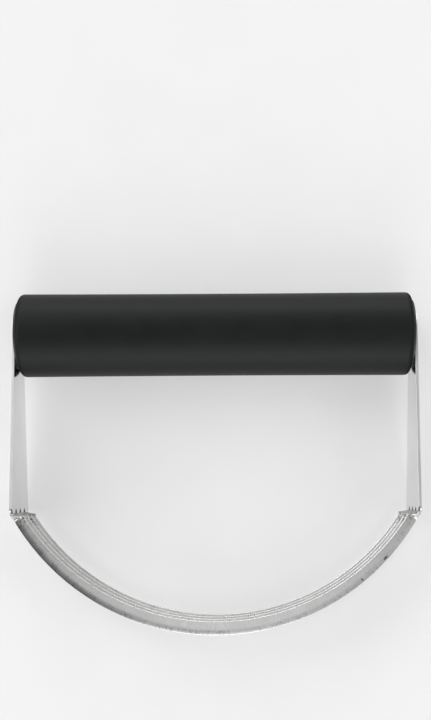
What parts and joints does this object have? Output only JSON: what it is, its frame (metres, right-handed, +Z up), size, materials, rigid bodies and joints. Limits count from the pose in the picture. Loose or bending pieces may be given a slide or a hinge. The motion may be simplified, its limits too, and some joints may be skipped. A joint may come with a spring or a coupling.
{
  "type": "pastry blender",
  "caption": "Hand pastry blender with a round soft grip, tapered steel side plates and curved parallel blades for cutting fat into flour.",
  "frame": {"origin": "centre of the footprint on the surface that the blender lies on", "axes": "+X along the handle to its right end, +Y from the blades to the handle, +Z up from the surface that it lies on"},
  "size_m": [0.1182, 0.1002, 0.0244],
  "materials": {
    "blade_steel": "stamped stainless strip, fine grinding marks across the strip",
    "plate_steel": "smooth rolled stainless sheet, softly mirroring",
    "grip_rubber": "matt soft-touch black with a fine speckle",
    "core_plastic": "moulded",
    "plug_plastic": "moulded black",
    "insert_brass": "turned",
    "screw_steel": "plain stainless"
  },
  "bodies": {
    "root": {"blade_1": "blade_steel", "blade_2": "blade_steel", "blade_3": "blade_steel", "blade_4": "blade_steel", "side_plate_left": "plate_steel", "side_plate_right": "plate_steel", "grip_sleeve": "grip_rubber", "handle_core": "core_plastic", "end_plug_left": "plug_plastic", "end_plug_right": "plug_plastic", "threaded_insert_left": "insert_brass", "threaded_insert_right": "insert_brass", "screw_left": "screw_steel", "screw_right": "screw_steel"}
  },
  "joints": []
}
